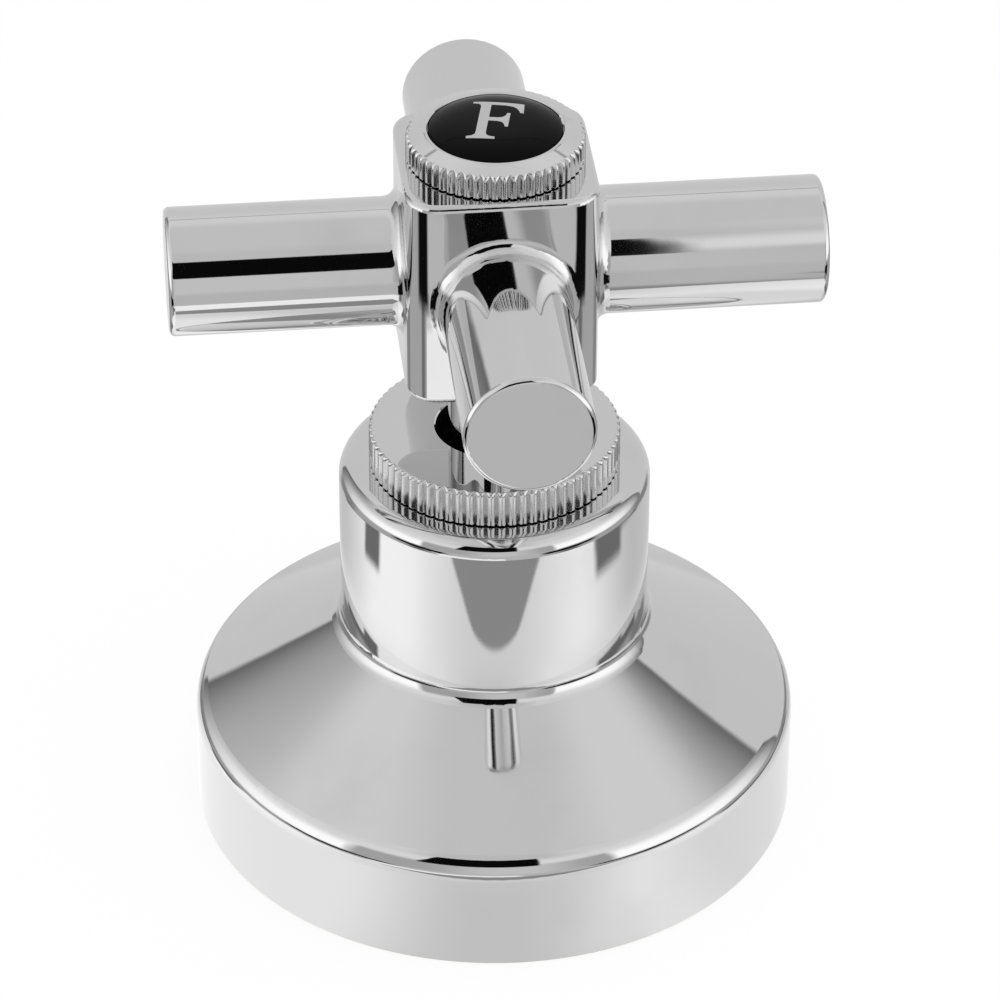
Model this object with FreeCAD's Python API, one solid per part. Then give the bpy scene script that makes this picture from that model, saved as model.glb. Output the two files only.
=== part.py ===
import FreeCAD
import Part
import math
import os

# Cross-handle trim set for a wall stop valve, in millimetres. Z runs out from the wall, up the spindle axis.
# The origin is the centre of the escutcheon's wall face, and the four arms lie along X and Y.

# Escutcheon: a turned shell with a straight rim, a cone and a round neck
FLANGE_DIAMETER = 65.0
RIM_CORNER_HEIGHT = 12.6
RIM_CORNER_RADIUS = 3.0
RIM_FOOT_RADIUS = 0.3
NECK_DIAMETER = 33.0
NECK_FOOT_HEIGHT = 23.0
NECK_FOOT_RADIUS = 2.2
NECK_TOP_HEIGHT = 42.6
NECK_EDGE_RADIUS = 1.9
SHELL_WALL = 1.4
NECK_LIP_THICKNESS = 2.4

# Lock nut: a knurled head on the neck top, over a threaded skirt for the valve's bonnet
NUT_DIAMETER = 26.6
NUT_HEAD_HEIGHT = 4.2
NUT_TEETH = 72
NUT_WELL_DIAMETER = 12.5
NUT_WELL_DEPTH = 2.7
NUT_GUIDE_LENGTH = 3.0
NUT_SKIRT_DIAMETER = 23.0
NUT_SKIRT_LENGTH = 10.0
BONNET_THREAD_DIAMETER = 20.0
NUT_SKIRT_CLEARANCE = 0.25

# Spindle adaptor: the stem under the hub, with a square tang above and a socket for the spindle below
STEM_DIAMETER = 9.8
STEM_RUNNING_CLEARANCE = 0.06
STEM_END_CHAMFER = 0.4
STEM_END_INSET = 0.4
SPINDLE_SOCKET_DIAMETER = 7.2
SPINDLE_SOCKET_DEPTH = 13.5
TANG_SIDE = 6.6
TANG_CORNER_RADIUS = 0.8
TANG_END_INSET = 0.3

# Cross handle: a hub with four round arms, cast in one piece
ARM_COUNT = 4
ARM_DIAMETER = 13.3
ARM_REACH = 33.9
ARM_END_RADIUS = 0.6
ARM_ROOT_RADIUS = 1.4
ARM_AXIS_ABOVE_HUB_FOOT = 11.6
HUB_FACE_MARGIN = 1.35
HUB_CHAMFER = 1.95
HUB_EDGE_SHARPNESS = 27
HUB_OUTLINE_POINTS = 96
HUB_RIM_RADIUS = 0.65
HUB_HEIGHT = 23.5
HUB_ABOVE_NUT = 9.3
STEM_SEAT_DEPTH = 7.6
HUB_WEB_THICKNESS = 6.0

# Handle screw and its washer, under the index ring
SCREW_DIAMETER = 4.0
SCREW_LENGTH = 13.0
SCREW_HEAD_DIAMETER = 8.0
SCREW_HEAD_HEIGHT = 3.0
SCREW_HEAD_RADIUS = 1.0
SCREW_TIP_CHAMFER = 0.5
SCREW_SLOT_WIDTH = 1.1
SCREW_SLOT_DEPTH = 1.5
WASHER_DIAMETER = 10.0
WASHER_THICKNESS = 1.0
WASHER_HOLE_CLEARANCE = 0.15

# Index ring: a knurled cap on the hub, with a hollow spigot below and a recess above
RING_DIAMETER = 18.4
RING_HEIGHT = 2.8
RING_TEETH = 58
RING_TOP_BEVEL = 0.45
RING_SPIGOT_DIAMETER = 14.0
RING_SPIGOT_LENGTH = 4.2
RING_SPIGOT_WALL = 1.4
RING_FLOOR_THICKNESS = 1.2
RING_LIP_WIDTH = 0.35
RING_LIP_RISE = 0.45
RING_LIP_DEPTH = 0.1

# Index disc: the domed face that carries the letter
DISC_DIAMETER = 13.8
DISC_EDGE_HEIGHT = 1.2
DISC_EDGE_RADIUS = 0.25
DISC_DOME_RISE = 1.0

# Straight knurl and undercut, the same on the nut and on the ring
KNURL_DEPTH = 0.4
KNURL_CREST = 0.2
KNURL_TOP_BEVEL = 0.3
KNURL_FOOT_BEVEL = 0.15
UNDERCUT_HEIGHT = 0.15
UNDERCUT_DEPTH = 0.9

# Gap all round between fixed pieces that fit inside one another
FIT_GAP = 0.05

# Heights that follow from the sizes above
NUT_TOP = NECK_TOP_HEIGHT + NUT_HEAD_HEIGHT
GUIDE_TOP = NUT_TOP - NUT_WELL_DEPTH
GUIDE_FOOT = GUIDE_TOP - NUT_GUIDE_LENGTH
STEM_FOOT = GUIDE_FOOT + STEM_END_INSET
HUB_FOOT = NUT_TOP + HUB_ABOVE_NUT
HUB_TOP = HUB_FOOT + HUB_HEIGHT
ARM_AXIS = HUB_FOOT + ARM_AXIS_ABOVE_HUB_FOOT
WEB_FOOT = HUB_FOOT + STEM_SEAT_DEPTH
WEB_TOP = WEB_FOOT + HUB_WEB_THICKNESS
SCREW_SEAT = WEB_TOP + WASHER_THICKNESS
RING_TOP = HUB_TOP + RING_HEIGHT
DISC_SEAT = RING_TOP + RING_LIP_RISE - RING_LIP_DEPTH - DISC_EDGE_HEIGHT

# Half-widths that follow: a hub face is wider than an arm by a margin on each side
HUB_HALF = ARM_DIAMETER / 2 + HUB_FACE_MARGIN + HUB_CHAMFER
STEM_RADIUS = STEM_DIAMETER / 2
SCREW_RADIUS = SCREW_DIAMETER / 2

ORIGIN = FreeCAD.Vector(0, 0, 0)
UP = FreeCAD.Vector(0, 0, 1)
ACROSS = FreeCAD.Vector(1, 0, 0)


def corner_arc(before, corner, after, radius):
    """First, middle and last point of the arc that rounds one corner of an outline."""
    toward_before = (before - corner).normalize()
    toward_after = (after - corner).normalize()
    half_angle = toward_before.getAngle(toward_after) / 2
    run = radius / math.tan(half_angle)
    inward = (toward_before + toward_after).normalize()
    middle = corner + inward * (radius / math.sin(half_angle) - radius)
    return corner + toward_before * run, middle, corner + toward_after * run


def outline_face(corners):
    """Flat face inside a closed outline of (point, corner radius) pairs."""
    points = [point for point, radius in corners]
    stops = []
    for index, (point, radius) in enumerate(corners):
        if radius > 0:
            following = points[(index + 1) % len(points)]
            stops.append(corner_arc(points[index - 1], point, following, radius))
        else:
            stops.append((point,))
    edges = []
    for index, stop in enumerate(stops):
        following = stops[(index + 1) % len(stops)]
        if len(stop) == 3:
            edges.append(Part.Arc(*stop).toShape())
        if stop[-1].distanceToPoint(following[0]) > 1e-6:
            edges.append(Part.makeLine(stop[-1], following[0]))
    return Part.Face(Part.Wire(edges))


def turned(corners):
    """Solid turned about Z from (radius, height, corner radius) points."""
    face = outline_face([(FreeCAD.Vector(r, 0, z), rounding) for r, z, rounding in corners])
    return face.revolve(ORIGIN, UP, 360)


def rounded_square_prism(half, corner_radius, foot, top):
    """Upright square bar about Z with rounded upright edges."""
    signs = ((-1, -1), (1, -1), (1, 1), (-1, 1))
    corners = [(FreeCAD.Vector(x * half, y * half, foot), corner_radius) for x, y in signs]
    return outline_face(corners).extrude(UP * (top - foot))


def soft_square_prism(half, chamfer, foot, top):
    """Upright square bar about Z with chamfered upright edges, all softly rounded into one smooth side."""
    reach = (half, (2 * half - chamfer) / math.sqrt(2))
    points = []
    for step in range(HUB_OUTLINE_POINTS):
        angle = math.pi / 4 + 2 * math.pi * step / HUB_OUTLINE_POINTS
        shares = [max(math.cos(angle - side * math.pi / 4), 0) / reach[side % 2] for side in range(8)]
        radius = sum(share ** HUB_EDGE_SHARPNESS for share in shares) ** (-1 / HUB_EDGE_SHARPNESS)
        points.append(FreeCAD.Vector(radius * math.cos(angle), radius * math.sin(angle), foot))
    outline = Part.BSplineCurve()
    outline.interpolate(Points=points, PeriodicFlag=True)
    return Part.Face(Part.Wire(outline.toShape())).extrude(UP * (top - foot))


def cylinder(radius, foot, top):
    """Upright cylinder about Z."""
    return Part.makeCylinder(radius, top - foot, FreeCAD.Vector(0, 0, foot))


def around_axis(shape, count):
    """Copies of a shape, spread evenly about Z."""
    copies = []
    for index in range(count):
        copy = shape.copy()
        copy.rotate(ORIGIN, UP, 360.0 * index / count)
        copies.append(copy)
    return copies


def knurled_edge(radius, foot, top, top_bevel):
    """Outline points of a knurled head, from its undercut to its bevelled top edge."""
    shadow = foot + UNDERCUT_HEIGHT
    return [
        (radius - UNDERCUT_DEPTH, foot, 0),
        (radius - UNDERCUT_DEPTH, shadow, 0),
        (radius - KNURL_FOOT_BEVEL, shadow, 0),
        (radius, shadow + KNURL_FOOT_BEVEL, 0),
        (radius, top - top_bevel, 0),
        (radius - top_bevel, top, 0),
    ]


def cut_knurl(body, radius, teeth, foot, top):
    """Straight V grooves round the outside of a turned head."""
    pitch = 2 * math.pi * radius / teeth
    outside = radius + KNURL_DEPTH
    half_width = pitch - KNURL_CREST
    groove_corners = [
        (FreeCAD.Vector(radius - KNURL_DEPTH, 0, foot), 0),
        (FreeCAD.Vector(outside, -half_width, foot), 0),
        (FreeCAD.Vector(outside, half_width, foot), 0),
    ]
    groove = outline_face(groove_corners).extrude(UP * (top - foot))
    return body.cut(around_axis(groove, teeth))


def make_escutcheon():
    """Shell of even wall over the wall opening, with a lip inside the neck top for the lock nut."""
    flange = FLANGE_DIAMETER / 2
    neck = NECK_DIAMETER / 2
    slope = math.atan2(NECK_FOOT_HEIGHT - RIM_CORNER_HEIGHT, flange - neck)
    inner_drop = SHELL_WALL * (1 / math.cos(slope) - math.tan(slope))
    lip_bore = NUT_SKIRT_DIAMETER / 2 + NUT_SKIRT_CLEARANCE
    lip_foot = NECK_TOP_HEIGHT - NECK_LIP_THICKNESS
    return turned([
        (flange - SHELL_WALL, 0, 0),
        (flange, 0, RIM_FOOT_RADIUS),
        (flange, RIM_CORNER_HEIGHT, RIM_CORNER_RADIUS),
        (neck, NECK_FOOT_HEIGHT, NECK_FOOT_RADIUS),
        (neck, NECK_TOP_HEIGHT, NECK_EDGE_RADIUS),
        (lip_bore, NECK_TOP_HEIGHT, 0),
        (lip_bore, lip_foot, 0),
        (neck - SHELL_WALL, lip_foot, 0),
        (neck - SHELL_WALL, NECK_FOOT_HEIGHT - inner_drop, NECK_FOOT_RADIUS + SHELL_WALL),
        (flange - SHELL_WALL, RIM_CORNER_HEIGHT - inner_drop, RIM_CORNER_RADIUS - SHELL_WALL),
    ])


def make_lock_nut():
    """Knurled nut with a well and a guide for the stem, and a threaded skirt inside the neck."""
    radius = NUT_DIAMETER / 2
    skirt = NUT_SKIRT_DIAMETER / 2
    skirt_foot = NECK_TOP_HEIGHT - NUT_SKIRT_LENGTH
    thread = BONNET_THREAD_DIAMETER / 2
    well = NUT_WELL_DIAMETER / 2
    guide = STEM_RADIUS + STEM_RUNNING_CLEARANCE
    nut = turned([
        (thread, skirt_foot, 0),
        (skirt, skirt_foot, 0),
        (skirt, NECK_TOP_HEIGHT, 0),
        *knurled_edge(radius, NECK_TOP_HEIGHT, NUT_TOP, KNURL_TOP_BEVEL),
        (well, NUT_TOP, 0),
        (well, GUIDE_TOP, 0),
        (guide, GUIDE_TOP, 0),
        (guide, GUIDE_FOOT, 0),
        (thread, GUIDE_FOOT, 0),
    ])
    return cut_knurl(nut, radius, NUT_TEETH, NECK_TOP_HEIGHT + UNDERCUT_HEIGHT, NUT_TOP)


def make_spindle_adaptor():
    """Stem that runs in the nut's guide, seats in the hub with a square tang and takes the handle screw."""
    socket = SPINDLE_SOCKET_DIAMETER / 2
    stem = turned([
        (0, STEM_FOOT, 0),
        (STEM_RADIUS - STEM_END_CHAMFER, STEM_FOOT, 0),
        (STEM_RADIUS, STEM_FOOT + STEM_END_CHAMFER, 0),
        (STEM_RADIUS, WEB_FOOT, 0),
        (0, WEB_FOOT, 0),
    ])
    tang_top = WEB_TOP - TANG_END_INSET
    tang = rounded_square_prism(TANG_SIDE / 2, TANG_CORNER_RADIUS, WEB_FOOT, tang_top)
    socket_end = STEM_FOOT + SPINDLE_SOCKET_DEPTH
    tapped_hole = cylinder(SCREW_RADIUS + FIT_GAP, SCREW_SEAT - SCREW_LENGTH - FIT_GAP, tang_top)
    spindle_socket = cylinder(socket, STEM_FOOT, socket_end)
    return stem.fuse(tang).cut([tapped_hole, spindle_socket])


def make_hub_block():
    """Square hub with soft chamfered upright edges and rounded top and bottom edges."""
    block = soft_square_prism(HUB_HALF, HUB_CHAMFER, HUB_FOOT, HUB_TOP)
    rims = [edge for edge in block.Edges if edge.BoundBox.ZLength < 1e-6]
    return block.makeFillet(HUB_RIM_RADIUS, rims)


def make_arm():
    """One round arm along +X, from the hub's axis to its rounded end."""
    radius = ARM_DIAMETER / 2
    face = outline_face([
        (FreeCAD.Vector(0, 0, 0), 0),
        (FreeCAD.Vector(ARM_REACH, 0, 0), 0),
        (FreeCAD.Vector(ARM_REACH, 0, radius), ARM_END_RADIUS),
        (FreeCAD.Vector(0, 0, radius), 0),
    ])
    arm = face.revolve(ORIGIN, ACROSS, 360)
    arm.translate(UP * ARM_AXIS)
    return arm


def arm_root_edges(casting):
    """The edges where the arms leave the sides of the hub."""
    roots = []
    for edge in casting.Edges:
        span = edge.LastParameter - edge.FirstParameter
        marks = [edge.valueAt(edge.FirstParameter + part * span) for part in (0.0, 0.2, 0.5, 0.8)]
        out = [max(abs(mark.x), abs(mark.y)) for mark in marks]
        off_axis = [math.hypot(min(abs(mark.x), abs(mark.y)), mark.z - ARM_AXIS) for mark in marks]
        on_hub = all(HUB_HALF - HUB_CHAMFER < distance < HUB_HALF + HUB_FACE_MARGIN for distance in out)
        if on_hub and all(abs(distance - ARM_DIAMETER / 2) < 0.01 for distance in off_axis):
            roots.append(edge)
    return roots


def make_cross_handle():
    """Hub and arms with blended roots, a well for the index ring above and a stem seat below."""
    casting = make_hub_block().fuse(around_axis(make_arm(), ARM_COUNT)).removeSplitter()
    casting = casting.makeFillet(ARM_ROOT_RADIUS, arm_root_edges(casting))
    ring_well = cylinder(RING_SPIGOT_DIAMETER / 2 + FIT_GAP, WEB_TOP, HUB_TOP)
    stem_seat = cylinder(STEM_RADIUS + FIT_GAP, HUB_FOOT, WEB_FOOT)
    tang_hole = rounded_square_prism(TANG_SIDE / 2 + FIT_GAP, TANG_CORNER_RADIUS + FIT_GAP, WEB_FOOT, WEB_TOP)
    return casting.cut([ring_well, stem_seat, tang_hole])


def make_screw_washer():
    """Plain washer over the square hole of the hub's web."""
    disc = cylinder(WASHER_DIAMETER / 2, WEB_TOP, SCREW_SEAT)
    return disc.cut(cylinder(SCREW_RADIUS + WASHER_HOLE_CLEARANCE, WEB_TOP, SCREW_SEAT))


def make_handle_screw():
    """Slotted screw that draws the hub down on the adaptor's shoulder."""
    head = SCREW_HEAD_DIAMETER / 2
    head_top = SCREW_SEAT + SCREW_HEAD_HEIGHT
    tip = SCREW_SEAT - SCREW_LENGTH
    screw = turned([
        (0, tip, 0),
        (SCREW_RADIUS - SCREW_TIP_CHAMFER, tip, 0),
        (SCREW_RADIUS, tip + SCREW_TIP_CHAMFER, 0),
        (SCREW_RADIUS, SCREW_SEAT, 0),
        (head, SCREW_SEAT, 0),
        (head, head_top, SCREW_HEAD_RADIUS),
        (0, head_top, 0),
    ])
    slot_corner = FreeCAD.Vector(-head, -SCREW_SLOT_WIDTH / 2, head_top - SCREW_SLOT_DEPTH)
    return screw.cut(Part.makeBox(SCREW_HEAD_DIAMETER, SCREW_SLOT_WIDTH, SCREW_SLOT_DEPTH, slot_corner))


def make_index_ring():
    """Knurled ring with a hollow spigot in the hub's well and a recess for the disc."""
    radius = RING_DIAMETER / 2
    spigot = RING_SPIGOT_DIAMETER / 2
    hollow = spigot - RING_SPIGOT_WALL
    spigot_foot = HUB_TOP - RING_SPIGOT_LENGTH
    recess = DISC_DIAMETER / 2 + FIT_GAP
    ring = turned([
        (0, DISC_SEAT - RING_FLOOR_THICKNESS, 0),
        (hollow, DISC_SEAT - RING_FLOOR_THICKNESS, 0),
        (hollow, spigot_foot, 0),
        (spigot, spigot_foot, 0),
        (spigot, HUB_TOP, 0),
        *knurled_edge(radius, HUB_TOP, RING_TOP, RING_TOP_BEVEL),
        (recess + RING_LIP_WIDTH, RING_TOP + RING_LIP_RISE, 0),
        (recess, RING_TOP + RING_LIP_RISE, 0),
        (recess, DISC_SEAT, 0),
        (0, DISC_SEAT, 0),
    ])
    return cut_knurl(ring, radius, RING_TEETH, HUB_TOP + UNDERCUT_HEIGHT, RING_TOP)


def make_index_disc():
    """Domed disc with a rounded edge, in the recess of the index ring."""
    radius = DISC_DIAMETER / 2
    edge_top = DISC_SEAT + DISC_EDGE_HEIGHT
    dome_radius = (radius ** 2 + DISC_DOME_RISE ** 2) / (2 * DISC_DOME_RISE)
    dome_centre = FreeCAD.Vector(0, 0, edge_top + DISC_DOME_RISE - dome_radius)
    disc = cylinder(radius, DISC_SEAT, edge_top + DISC_DOME_RISE).common(Part.makeSphere(dome_radius, dome_centre))
    brim = [edge for edge in disc.Edges if abs(edge.BoundBox.ZMin - edge_top) < 1e-3 and edge.BoundBox.ZLength < 1e-3]
    return disc.makeFillet(DISC_EDGE_RADIUS, brim)


PIECES = {
    "escutcheon": make_escutcheon,
    "lock_nut": make_lock_nut,
    "spindle_adaptor": make_spindle_adaptor,
    "cross_handle": make_cross_handle,
    "screw_washer": make_screw_washer,
    "handle_screw": make_handle_screw,
    "index_ring": make_index_ring,
    "index_disc": make_index_disc,
}


def main():
    os.makedirs("parts", exist_ok=True)
    for name, make in PIECES.items():
        shape = make()
        print(name, "solids", len(shape.Solids), "valid", shape.isValid(), "volume", round(shape.Volume, 2))
        shape.exportStep("parts/" + name + ".step")


main()
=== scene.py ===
import math

import bmesh
import bpy
import numpy as np
from bpy.props import FloatProperty, FloatVectorProperty, IntProperty, PointerProperty
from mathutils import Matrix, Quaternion, Vector


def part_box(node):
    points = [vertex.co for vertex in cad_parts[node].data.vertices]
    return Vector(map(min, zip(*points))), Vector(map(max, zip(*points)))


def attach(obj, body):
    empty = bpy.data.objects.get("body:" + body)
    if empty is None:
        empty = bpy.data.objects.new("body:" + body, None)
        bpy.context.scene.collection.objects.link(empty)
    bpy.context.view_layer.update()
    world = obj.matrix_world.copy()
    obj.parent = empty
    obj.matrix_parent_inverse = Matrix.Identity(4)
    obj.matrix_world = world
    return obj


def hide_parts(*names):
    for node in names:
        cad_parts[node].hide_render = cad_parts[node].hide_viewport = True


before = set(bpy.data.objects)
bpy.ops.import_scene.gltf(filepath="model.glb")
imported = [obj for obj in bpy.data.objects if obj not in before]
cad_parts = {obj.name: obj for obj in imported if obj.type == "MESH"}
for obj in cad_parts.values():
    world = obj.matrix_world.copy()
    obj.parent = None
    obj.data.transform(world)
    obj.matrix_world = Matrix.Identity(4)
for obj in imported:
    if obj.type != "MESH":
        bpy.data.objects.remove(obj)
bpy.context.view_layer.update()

bl_info = {
    "name": "Cross tap handle",
    "version": (1, 0, 0),
    "blender": (4, 5, 0),
    "location": "3D View > Sidebar > Tap handle",
    "description": "Dresses a chrome cross tap handle on its wall escutcheon",
    "category": "Object",
}

MM = 0.001
DEGREES = 180.0 / math.pi

# Small lengths of the turned shapes, in millimetres.
EDGE_BREAK = 0.4
THREAD_LEAD = 0.5
WELL_BREAK = 0.15
GUIDE_BREAK = 0.3
SOCKET_LEAD = 0.6
TANG_BREAK = 0.3
HOLE_LEAD = 0.25
LIP_BREAK = 0.06
RECESS_BREAK = 0.08
SEAT_GAP = 0.05

# A groove's flanks reach this many depths, so values over 1 leave a flat floor.
FLANK_REACH = 1.6
CREST_SOFTNESS = 0.6
CREST_RISE = math.hypot(1.0, CREST_SOFTNESS) - CREST_SOFTNESS
DOME_POWER = 3.6
NOTCH_TURN = math.radians(8.0)
NOTCH_TAPER = 0.7

# Fineness of the meshes: counts of rows and columns, and heights between rows of a thread in millimetres.
TOOTH_FOOT_ROWS = 3
TOOTH_END_ROWS = 9
NOTCH_ROWS = 7
DISC_EDGE_ROWS = 7
DOME_ROWS = 40
DISC_COLUMNS = 192
NUT_THREAD_STEP = 0.125
HOLE_THREAD_STEP = 0.14
HALVINGS = 40


def foot_of(node):
    """Lowest height of a solid, in millimetres."""
    return round(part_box(node)[0][2] / MM, 3)


def top_of(node):
    """Highest height of a solid, in millimetres."""
    return round(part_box(node)[1][2] / MM, 3)


NECK_TOP = top_of("escutcheon")
NUT_TOP = top_of("lock_nut")
HUB_FOOT = foot_of("cross_handle")
HUB_TOP = top_of("cross_handle")
DISC_SEAT = foot_of("index_disc")


def length(name, millimetres, description):
    """Length property with its default given in millimetres."""
    return FloatProperty(name=name, description=description, default=millimetres * MM, min=0.0,
                         precision=5, subtype="DISTANCE", unit="LENGTH")


def tone(name, value, description):
    """Colour property with its default given as a linear grey or a triple."""
    triple = value if isinstance(value, tuple) else (value, value, value)
    return FloatVectorProperty(name=name, description=description, default=triple, size=3,
                               min=0.0, max=1.0, subtype="COLOR")


def share(name, value, description):
    """Plain number from 0 to 1."""
    return FloatProperty(name=name, description=description, default=value, min=0.0, max=1.0,
                         subtype="FACTOR")


class TapFinish(bpy.types.PropertyGroup):
    """Colours and polish of the metal and of the index disc."""
    chrome: tone("Chrome", 0.685, "Reflected colour of the chrome plate")
    chrome_worn: tone("Chrome, handled", 0.645, "Chrome where handling has dulled it slightly")
    chrome_roughness: share("Chrome roughness", 0.03, "Roughness of the clean plate")
    knurl_roughness: share("Knurl roughness", 0.2, "Roughness of the plate on the rolled teeth")
    shell_roughness: share("Shell roughness", 0.34, "Roughness inside the shell")
    thread_roughness: share("Thread roughness", 0.26, "Roughness of the nut's thread")
    socket_roughness: share("Socket roughness", 0.24, "Roughness of the adaptor's socket and hole")
    steel_roughness: share("Steel roughness", 0.22, "Roughness of the screw and washer")
    raw: tone("Unplated inside", (0.44, 0.36, 0.24), "Thinly plated brass inside the shell and the bores")
    steel: tone("Steel", (0.42, 0.42, 0.41), "Reflected colour of the screw and washer")
    # The stem well's near-black colour is painted shade for the deep, unlit well round the stem.
    well: tone("Stem well", (0.012, 0.011, 0.010), "Greased, unlit well round the stem")
    disc: tone("Disc", (0.0006, 0.0006, 0.0007), "Black of the index disc")
    letter: tone("Letter", (0.34, 0.34, 0.345), "Pale grey of the index letter")


class TapKnurl(bpy.types.PropertyGroup):
    """Straight knurl and undercut of the nut and the ring."""
    depth: length("Depth", 0.42, "Depth of the grooves")
    bevel: length("Foot bevel", 0.15, "Bevel at the foot of the teeth")
    undercut_height: length("Undercut height", 0.15, "Height of the shadow groove under the teeth")
    undercut_depth: length("Undercut depth", 0.9, "Depth of the shadow groove under the teeth")
    steps: IntProperty(name="Steps", description="Facets across one tooth", default=10, min=4)


class TapNut(bpy.types.PropertyGroup):
    """Lock nut."""
    diameter: length("Diameter", 26.6, "Across the teeth")
    teeth: IntProperty(name="Teeth", description="Teeth round the nut", default=72, min=8)
    tooth_end: length("Tooth end", 0.5, "Height of the rounded ends of the teeth")
    well: length("Well", 12.5, "Diameter of the well round the stem")
    well_depth: length("Well depth", 2.7, "Depth of the well")
    guide: length("Guide", 9.92, "Bore that carries the stem")
    guide_length: length("Guide length", 3.0, "Length of that bore")
    skirt: length("Skirt", 23.0, "Diameter of the skirt inside the neck")
    thread: length("Thread", 20.0, "Inner diameter of the bonnet thread")
    thread_pitch: length("Thread pitch", 1.0, "Pitch of the bonnet thread")
    thread_depth: length("Thread depth", 0.55, "Depth of the bonnet thread")


class TapAdaptor(bpy.types.PropertyGroup):
    """Spindle adaptor."""
    stem: length("Stem", 9.8, "Diameter of the stem")
    tang: length("Tang", 6.6, "Side of the square tang in the hub")
    tang_corner: length("Tang corner", 0.8, "Rounding of the tang's edges")
    shoulder: length("Shoulder", 7.6, "Depth of the stem's shoulder in the hub")
    socket: length("Socket", 7.2, "Inner diameter of the spindle socket")
    socket_depth: length("Socket depth", 13.5, "Depth of the spindle socket")
    serrations: IntProperty(name="Serrations", description="Teeth round the spindle socket", default=20,
                            min=4)
    serration_steps: IntProperty(name="Serration steps", description="Facets across one of those teeth",
                                 default=12, min=4)
    serration_depth: length("Serration depth", 0.4, "Depth of those teeth")
    screw_hole: length("Screw hole", 4.1, "Diameter of the tapped hole")
    hole_pitch: length("Hole pitch", 0.7, "Pitch of that hole's thread")
    hole_depth: length("Hole thread depth", 0.22, "Depth of that hole's thread")


class TapRing(bpy.types.PropertyGroup):
    """Index ring."""
    diameter: length("Diameter", 18.4, "Across the teeth")
    height: length("Height", 2.8, "From the hub to the ring's shoulder")
    teeth: IntProperty(name="Teeth", description="Teeth round the ring", default=58, min=8)
    tooth_end: length("Tooth end", 0.75, "Height of the rounded ends of the teeth")
    lip_width: length("Lip width", 0.35, "Width of the lip round the disc")
    lip_rise: length("Lip rise", 0.45, "Height of that lip over the shoulder")
    spigot: length("Spigot", 14.0, "Diameter of the spigot in the hub")
    spigot_length: length("Spigot length", 4.2, "Length of that spigot")
    spigot_wall: length("Spigot wall", 1.4, "Wall of that spigot")
    floor: length("Floor", 1.2, "Thickness under the disc")
    notch: length("Notch", 1.1, "Width of the lever notch in the lip")
    notch_reach: length("Notch reach", 1.0, "Length of that notch outside the lip")
    notch_depth: length("Notch depth", 0.5, "Depth of that notch")


class TapDisc(bpy.types.PropertyGroup):
    """Index disc and its letter."""
    diameter: length("Diameter", 13.8, "Across the disc")
    edge: length("Edge", 1.2, "Height of the disc's edge")
    edge_radius: length("Edge radius", 0.25, "Rounding of that edge")
    dome: length("Dome", 1.0, "Rise of the dome over the edge")
    letter_height: length("Letter height", 7.3, "Height of the index letter")
    letter_relief: length("Letter relief", 0.04, "How far the letter stands on the dome")
    letter_turn: FloatProperty(name="Letter turn", description="Turn of the letter on the disc",
                               default=math.radians(-12.0), subtype="ANGLE", unit="ROTATION")


class TapStage(bpy.types.PropertyGroup):
    """Camera, floor and studio tent."""
    camera_place: FloatVectorProperty(name="Camera place", description="Where the camera stands",
                                      default=(-0.0468, -0.4449, 0.3449), size=3,
                                      subtype="TRANSLATION", unit="LENGTH")
    camera_aim: FloatVectorProperty(name="Camera aim", description="Point in the middle of the picture",
                                    default=(0.0006, -0.00006, 0.0370), size=3,
                                    subtype="TRANSLATION", unit="LENGTH")
    camera_roll: FloatProperty(name="Camera roll", description="Lean of the picture", default=0.004,
                               subtype="ANGLE", unit="ROTATION")
    camera_lens: FloatProperty(name="Lens", description="Focal length in millimetres", default=183.6,
                               min=1.0, subtype="DISTANCE_CAMERA")
    floor_radius: length("Floor radius", 220.0, "Radius of the white floor disc")
    tent_radius: length("Tent radius", 400.0, "Radius of the tent that the metal reflects")
    tent_height: length("Tent height", 25.0, "Height of the tent's middle")
    tent_turn: FloatProperty(name="Tent turn", description="Turn of the tent about the part's axis",
                             default=math.radians(-6.0), subtype="ANGLE", unit="ROTATION")


def mm(value):
    """Length in millimetres."""
    return value / MM


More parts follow.
